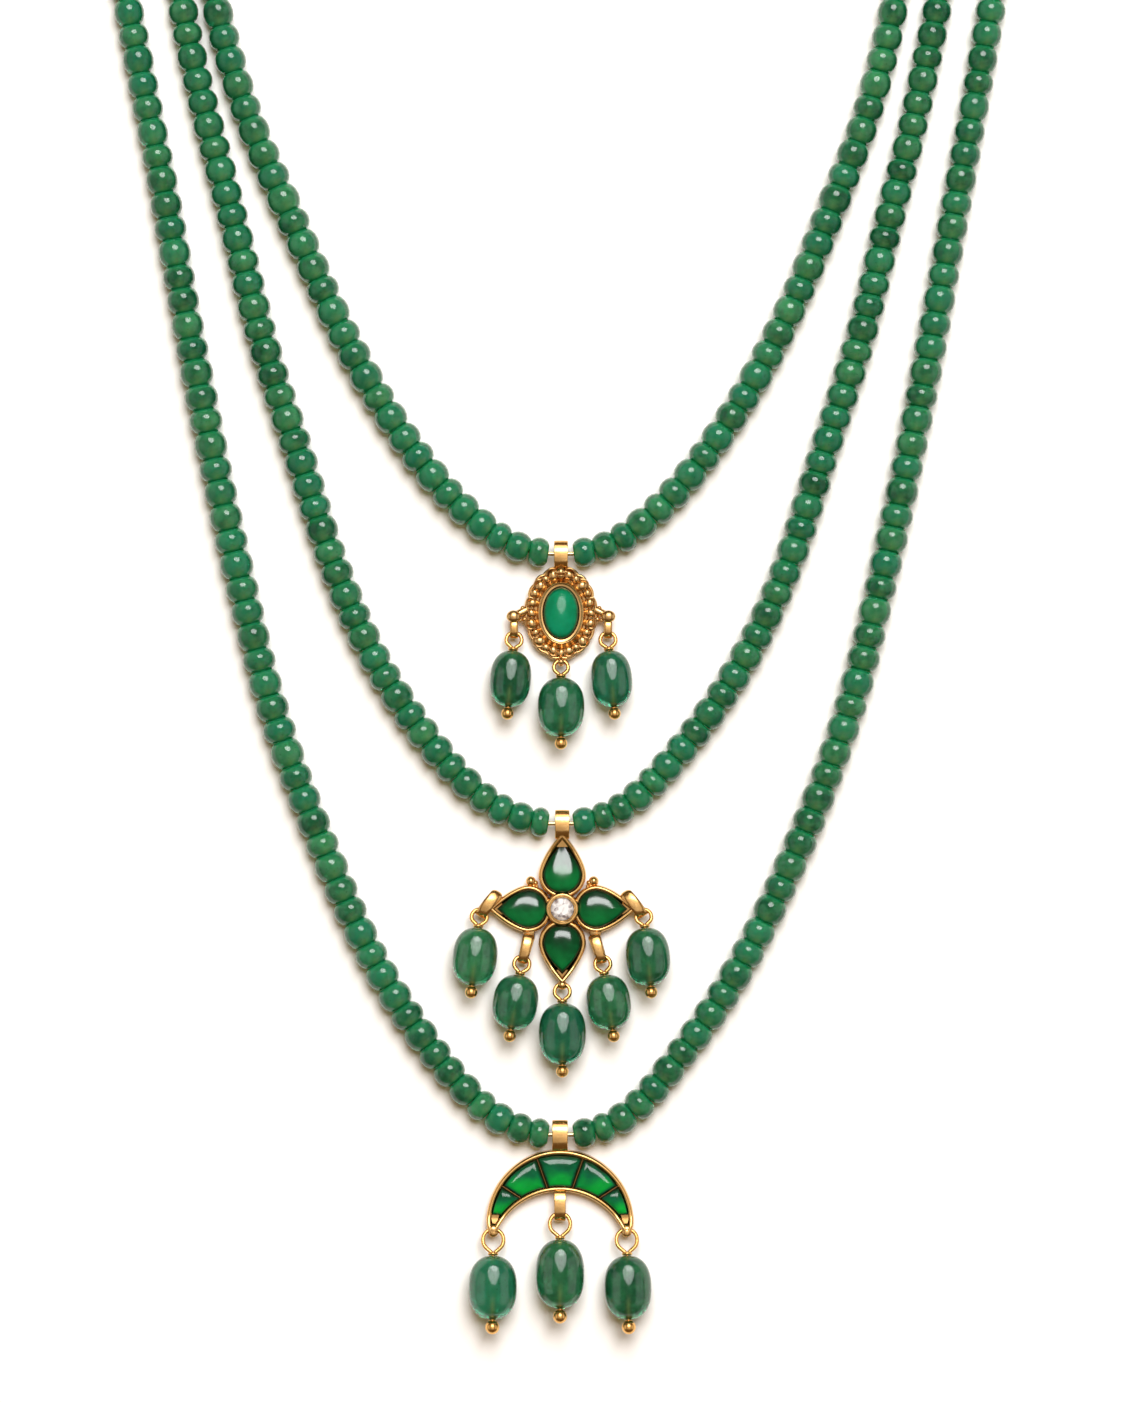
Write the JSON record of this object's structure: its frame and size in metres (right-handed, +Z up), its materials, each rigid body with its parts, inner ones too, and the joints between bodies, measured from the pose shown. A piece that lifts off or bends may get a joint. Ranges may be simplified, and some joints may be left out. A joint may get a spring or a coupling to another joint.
{
  "type": "three-strand necklace",
  "caption": "Long necklace of round green stone beads in three nested strands, each with a gold pendant set with green stones and hung with bead drops.",
  "frame": {"origin": "on the surface that the necklace lies on, at the middle of its outline", "axes": "+X across the necklace, +Y from the pendants towards the clasp, +Z up from the surface"},
  "size_m": [0.182, 0.3621, 0.0102],
  "materials": {
    "strand_bead": "polished green stone",
    "drop_bead": "polished green stone",
    "cabochon": "polished cabochon",
    "petal_stone": "polished cabochon",
    "crescent_stone": "polished cabochon",
    "brilliant": "faceted clear stone",
    "gold": "polished yellow gold",
    "stringing_wire": "gold-coloured wire"
  },
  "bodies": {
    "root": {"inner_beads": "strand_bead", "middle_beads": "strand_bead", "outer_beads": "strand_bead", "inner_thread": "stringing_wire", "middle_thread": "stringing_wire", "outer_thread": "stringing_wire", "inner_back_strand": "strand_bead", "middle_back_strand": "strand_bead", "outer_back_strand": "strand_bead", "clasp": "gold", "oval_setting": "gold", "oval_cabochon": "cabochon", "flower_setting": "gold", "flower_brilliant": "brilliant", "crescent_setting": "gold", "petal_stone_top": "petal_stone", "petal_stone_left": "petal_stone", "petal_stone_bottom": "petal_stone", "petal_stone_right": "petal_stone", "crescent_stone_end_left": "crescent_stone", "crescent_stone_left": "crescent_stone", "crescent_stone_centre": "crescent_stone", "crescent_stone_right": "crescent_stone", "crescent_stone_end_right": "crescent_stone", "oval_drop_left_bead": "drop_bead", "oval_drop_centre_bead": "drop_bead", "oval_drop_right_bead": "drop_bead", "flower_drop_outer_left_bead": "drop_bead", "flower_drop_inner_left_bead": "drop_bead", "flower_drop_centre_bead": "drop_bead", "flower_drop_inner_right_bead": "drop_bead", "flower_drop_outer_right_bead": "drop_bead", "crescent_drop_left_bead": "drop_bead", "crescent_drop_centre_bead": "drop_bead", "crescent_drop_right_bead": "drop_bead", "oval_drop_left_pin": "gold", "oval_drop_centre_pin": "gold", "oval_drop_right_pin": "gold", "flower_drop_outer_left_pin": "gold", "flower_drop_inner_left_pin": "gold", "flower_drop_centre_pin": "gold", "flower_drop_inner_right_pin": "gold", "flower_drop_outer_right_pin": "gold", "crescent_drop_left_pin": "gold", "crescent_drop_centre_pin": "gold", "crescent_drop_right_pin": "gold"}
  },
  "joints": []
}
